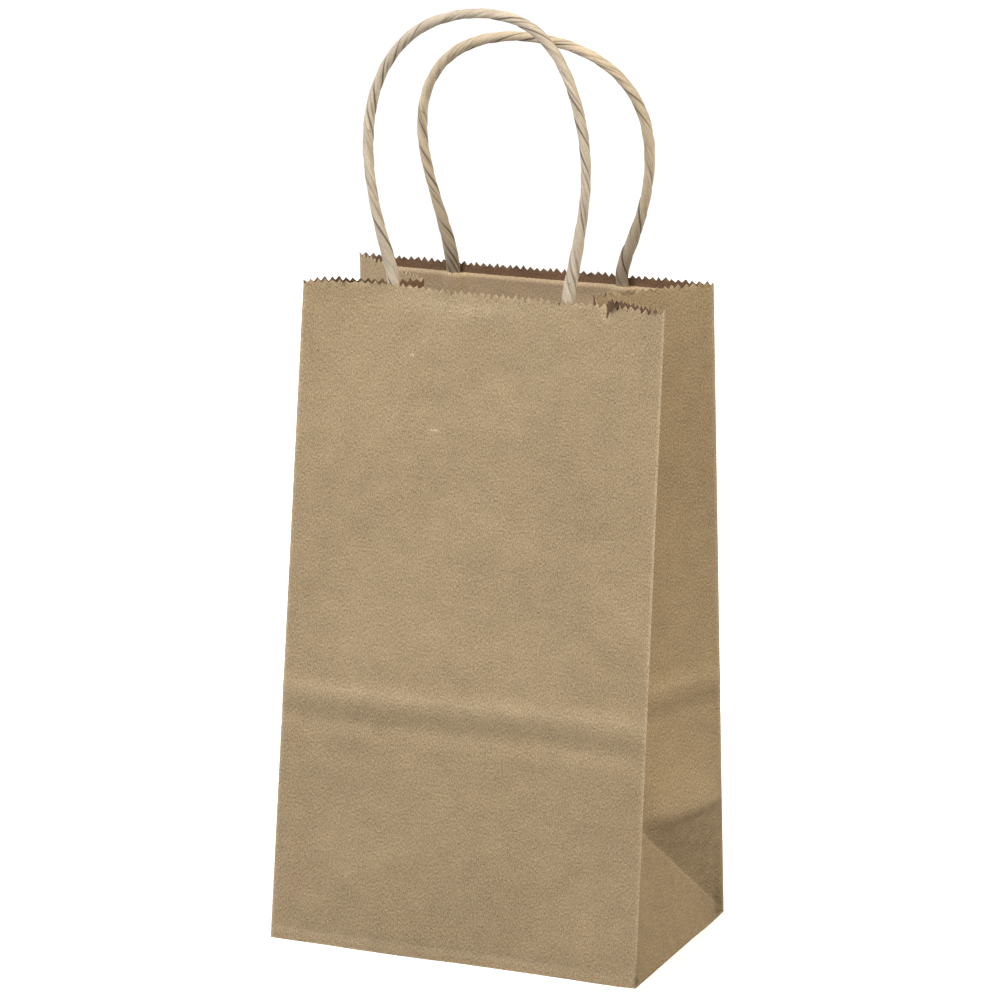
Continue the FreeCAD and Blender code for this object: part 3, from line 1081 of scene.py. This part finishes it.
# ------------------------------------------------------------------ stage
def area_light(name, place, aim, width, power, colour=(1, 1, 1)):
    """A round soft light at a place, turned to what it lights."""
    light = bpy.data.lights.new(name, "AREA")
    light.shape = "DISK"
    light.size = width
    light.energy = power
    light.color = colour
    lamp = bpy.data.objects.new(name, light)
    lamp.location = place
    lamp.rotation_euler = (Vector(aim) - Vector(place)).to_track_quat("-Z", "Y").to_euler()
    bpy.context.collection.objects.link(lamp)


class GIFTBAG_OT_stage(bpy.types.Operator):
    """Set up the floor, the soft studio light and the camera"""
    bl_idname = "giftbag.stage"
    bl_label = "Studio"

    def execute(self, context):
        scene = context.scene
        bm = bmesh.new()
        bmesh.ops.create_circle(bm, cap_ends=True, segments=96, radius=1.1)
        floor = new_piece(bm, "floor", [self.floor_material()], smooth_faces=False)
        world = bpy.data.worlds.new("Studio")
        world.use_nodes = True
        world.node_tree.nodes["Background"].inputs["Color"].default_value = (1, 1, 1, 1)
        world.node_tree.nodes["Background"].inputs["Strength"].default_value = 0.62
        self.show_white(world.node_tree)
        scene.world = world
        area_light("key", (-0.95, -0.95, 1.45), (0, 0, 0.12), 0.6, 21)
        area_light("fill", (1.2, -0.3, 1.4), (0, 0, 0.08), 0.6, 15, (1.0, 0.86, 0.62))
        area_light("back", (-0.6, 1.5, 1.2), (0, 0, 0.12), 0.8, 14)
        scene.view_settings.view_transform = "Standard"
        scene.view_settings.look = "None"
        self.camera(scene)
        return {"FINISHED"}

    def show_white(self, tree):
        """The backdrop looks pure white, while the light that it gives stays softer."""
        rays = tree.nodes.new("ShaderNodeLightPath")
        seen = tree.nodes.new("ShaderNodeBackground")
        seen.inputs["Color"].default_value = (1, 1, 1, 1)
        seen.inputs["Strength"].default_value = 1.1
        either = tree.nodes.new("ShaderNodeMixShader")
        tree.links.new(rays.outputs["Is Camera Ray"], either.inputs["Fac"])
        tree.links.new(tree.nodes["Background"].outputs[0], either.inputs[1])
        tree.links.new(seen.outputs[0], either.inputs[2])
        tree.links.new(either.outputs[0], tree.nodes["World Output"].inputs["Surface"])

    def floor_material(self):
        """White where the camera sees it, with a softer bounce of light onto the bag."""
        material, tree, shader = start_material("Studio floor", 0.1)
        shader.inputs["Roughness"].default_value = 0.9
        rays = tree.nodes.new("ShaderNodeLightPath")
        tone = add_range(tree, rays.outputs["Is Camera Ray"], 0, 1, 0.4, 0.97)
        tree.links.new(tone, shader.inputs["Base Color"])
        tree.links.new(rays.outputs["Is Camera Ray"], shader.inputs["Emission Color"])
        shader.inputs["Emission Strength"].default_value = 0.4
        return material

    def camera(self, scene):
        azimuth, elevation, distance = math.radians(22.69), math.radians(14.28), 1.65
        aim = Vector((0.0004, 0, 0.1505))
        lens = bpy.data.cameras.new("camera")
        lens.sensor_width = 36
        lens.lens = 176.7
        eye = bpy.data.objects.new("camera", lens)
        away = Vector((math.sin(azimuth) * math.cos(elevation),
                       -math.cos(azimuth) * math.cos(elevation), math.sin(elevation)))
        eye.location = aim + away * distance
        eye.rotation_euler = (-away).to_track_quat("-Z", "Y").to_euler()
        bpy.context.collection.objects.link(eye)
        scene.camera = eye


class GIFTBAG_PT_panel(bpy.types.Panel):
    """The bag's pieces and its studio"""
    bl_label = "Gift Bag"
    bl_idname = "GIFTBAG_PT_panel"
    bl_space_type = "VIEW_3D"
    bl_region_type = "UI"
    bl_category = "Gift Bag"

    def draw(self, context):
        layout = self.layout
        for operator in OPERATORS:
            layout.operator(operator.bl_idname)
        for group in (sizes(), rope_sizes(), colours()):
            box = layout.box()
            for name in group.bl_rna.properties.keys():
                if name not in ("rna_type", "name"):
                    box.prop(group, name)


OPERATORS = (GIFTBAG_OT_stage, GIFTBAG_OT_body, GIFTBAG_OT_patches, GIFTBAG_OT_handles,
             GIFTBAG_OT_base)
CLASSES = (BagSizes, BagRope, BagColours, *OPERATORS, GIFTBAG_PT_panel)


def register():
    for cls in CLASSES:
        bpy.utils.register_class(cls)
    bpy.types.Scene.gift_bag_sizes = bpy.props.PointerProperty(type=BagSizes)
    bpy.types.Scene.gift_bag_rope = bpy.props.PointerProperty(type=BagRope)
    bpy.types.Scene.gift_bag_colours = bpy.props.PointerProperty(type=BagColours)


def unregister():
    del bpy.types.Scene.gift_bag_colours
    del bpy.types.Scene.gift_bag_rope
    del bpy.types.Scene.gift_bag_sizes
    for cls in reversed(CLASSES):
        bpy.utils.unregister_class(cls)


def main():
    """Make the studio and every piece."""
    register()
    bpy.ops.giftbag.stage()
    bpy.ops.giftbag.handles()
    bpy.ops.giftbag.body()
    bpy.ops.giftbag.patches()
    bpy.ops.giftbag.base()


if __name__ == "__main__":
    main()
